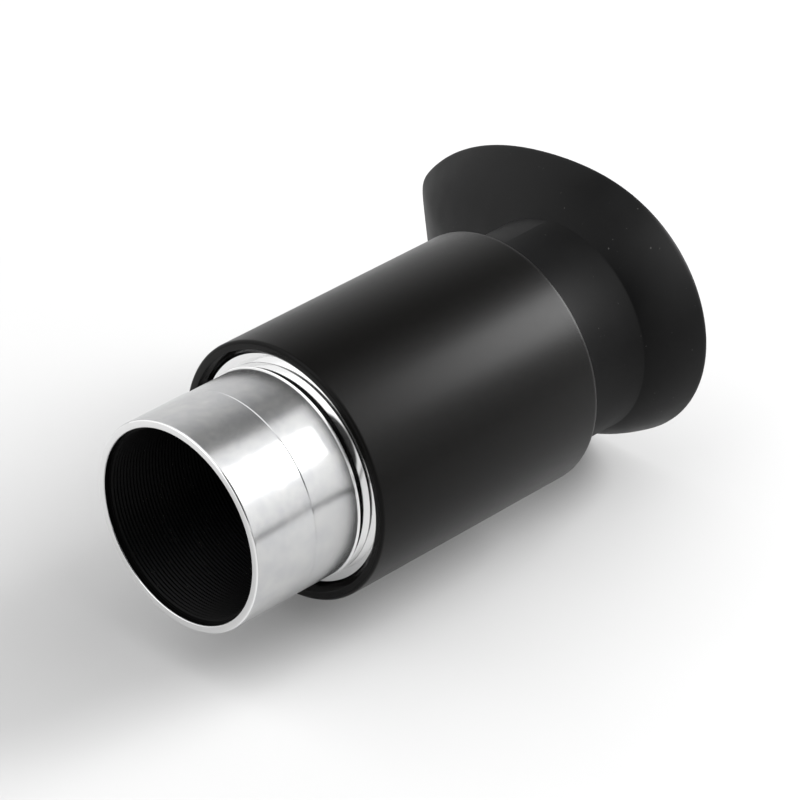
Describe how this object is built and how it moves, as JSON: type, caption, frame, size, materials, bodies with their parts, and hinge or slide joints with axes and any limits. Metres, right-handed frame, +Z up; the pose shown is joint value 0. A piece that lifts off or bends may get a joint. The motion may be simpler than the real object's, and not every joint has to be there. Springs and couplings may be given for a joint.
{
  "type": "telescope eyepiece",
  "caption": "Long eye relief telescope eyepiece with a bright slip-in barrel, a black body, two cemented lens pairs and a winged rubber eyecup that turns.",
  "frame": {"origin": "centre of the underside of the object's box, lying on its side on a table", "axes": "+X along the optical axis from the barrel's open end towards the eyecup, +Z up, the eyecup's wing reaches towards +Y"},
  "size_m": [0.0888, 0.059, 0.0448],
  "materials": {
    "bright_aluminium": "fine turned, bright, clear finish",
    "black_anodised": "satin black anodised, finely bead blasted",
    "blackened_metal": "matt black against stray light",
    "rubber": "matt moulded rubber",
    "crown_glass": "polished, thin anti-reflection coating",
    "flint_glass": "polished, thin anti-reflection coating"
  },
  "bodies": {
    "optics_body": {"nosepiece": "bright_aluminium", "field_stop_ring": "blackened_metal", "adapter_ring": "bright_aluminium", "outer_sleeve": "black_anodised", "lens_cell": "blackened_metal", "field_retaining_ring": "blackened_metal", "field_flint_lens": "flint_glass", "field_crown_lens": "crown_glass", "doublet_spacer": "blackened_metal", "eye_crown_lens": "crown_glass", "eye_flint_lens": "flint_glass", "eye_retaining_ring": "blackened_metal", "eye_cap": "blackened_metal"},
    "eyecup": {"eyecup": "rubber"}
  },
  "joints": [
    {"name": "eyecup_turn", "type": "hinge", "parent": "optics_body", "child": "eyecup", "pos_m": [0.0256, -0.00937, 0.02384], "axis": [1, 0, 0], "continuous": true}
  ]
}
